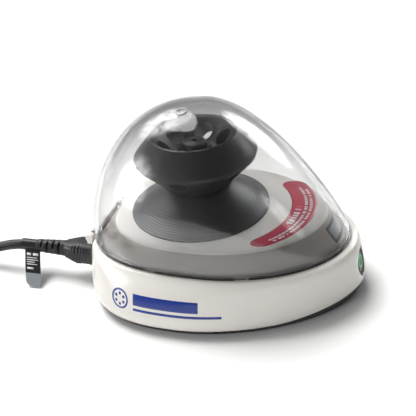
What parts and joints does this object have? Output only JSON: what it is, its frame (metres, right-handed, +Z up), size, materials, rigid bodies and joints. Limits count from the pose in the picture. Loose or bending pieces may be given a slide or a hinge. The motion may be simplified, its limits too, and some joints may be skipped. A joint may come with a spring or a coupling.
{
  "type": "laboratory centrifuge",
  "caption": "Bench mini centrifuge with a clear hinged dome lid, a dish-shaped angled tube rotor on a cone pedestal, a round power button in the nose and a mains lead.",
  "frame": {"origin": "centre of the footprint box at table level, without the mains lead", "axes": "+X towards the nose and power button, +Z up, rotor axis parallel to +Z"},
  "size_m": [0.3273, 0.1747, 0.1083],
  "materials": {
    "white_abs": "moulded, glossy warm white",
    "black_abs": "moulded, fine satin",
    "rubber": "moulded rubber",
    "screw_steel": "zinc plated",
    "clear_lid": "clear moulded polycarbonate",
    "pin_steel": "ground",
    "pedestal_grey": "satin dark grey",
    "rotor_grey": "satin dark grey",
    "motor_steel": "plated steel",
    "endcap_nylon": "moulded nylon",
    "ferrite": "sintered",
    "bronze": "sintered bronze",
    "armature_iron": "stacked laminations",
    "button_black": "polished",
    "symbol_green": "lit",
    "catch_grey": "moulded",
    "board_green": "solder mask",
    "component_black": "moulded",
    "nickel": "nickel plated brass",
    "cord_pvc": "black PVC, slight sheen",
    "tag_film": "printed film"
  },
  "bodies": {
    "root": {"base_shell": "white_abs", "deck": "white_abs", "bottom_plate": "black_abs", "button_collar": "black_abs", "switch_body": "black_abs", "latch_bezel": "black_abs", "latch_guide": "black_abs", "mains_inlet": "black_abs", "rubber_feet": "rubber", "rim_gasket": "rubber", "case_screws": "screw_steel", "bracket_screws": "screw_steel", "hinge_pin": "pin_steel", "pedestal_cover": "pedestal_grey", "motor_can": "motor_steel", "motor_bracket": "motor_steel", "motor_endcap": "endcap_nylon", "motor_magnets": "ferrite", "motor_bearings": "bronze", "control_board": "board_green", "board_components": "component_black", "inlet_pins": "nickel", "plug_prongs": "nickel", "cord_connector": "cord_pvc", "strain_relief": "cord_pvc", "mains_cord": "cord_pvc", "cord_coil": "cord_pvc", "cord_tail": "cord_pvc", "plug_relief": "cord_pvc", "mains_plug": "cord_pvc", "cord_tag": "tag_film"},
    "lid": {"lid": "clear_lid"},
    "rotor": {"rotor": "rotor_grey", "rotor_cap": "rotor_grey", "motor_armature": "armature_iron", "motor_shaft": "pin_steel"},
    "button": {"power_button": "button_black", "power_symbol": "symbol_green"},
    "latch": {"latch_catch": "catch_grey"}
  },
  "joints": [
    {"name": "lid_hinge", "type": "hinge", "parent": "root", "child": "lid", "pos_m": [-0.0743, 0, 0.0324], "axis": [0, -1, 0], "range_deg": [0, 85]},
    {"name": "rotor_spin", "type": "hinge", "parent": "root", "child": "rotor", "pos_m": [-0.014, 0, 0.06], "axis": [0, 0, 1], "continuous": true},
    {"name": "power_press", "type": "slide", "parent": "root", "child": "button", "axis": [-0.9781, 0, -0.2079], "range_m": [0, 0.001], "stiffness_N_per_m": 300, "springref_m": -0.001},
    {"name": "latch_press", "type": "slide", "parent": "root", "child": "latch", "axis": [-1, 0, 0], "range_m": [0, 0.002], "stiffness_N_per_m": 300, "springref_m": -0.001}
  ]
}
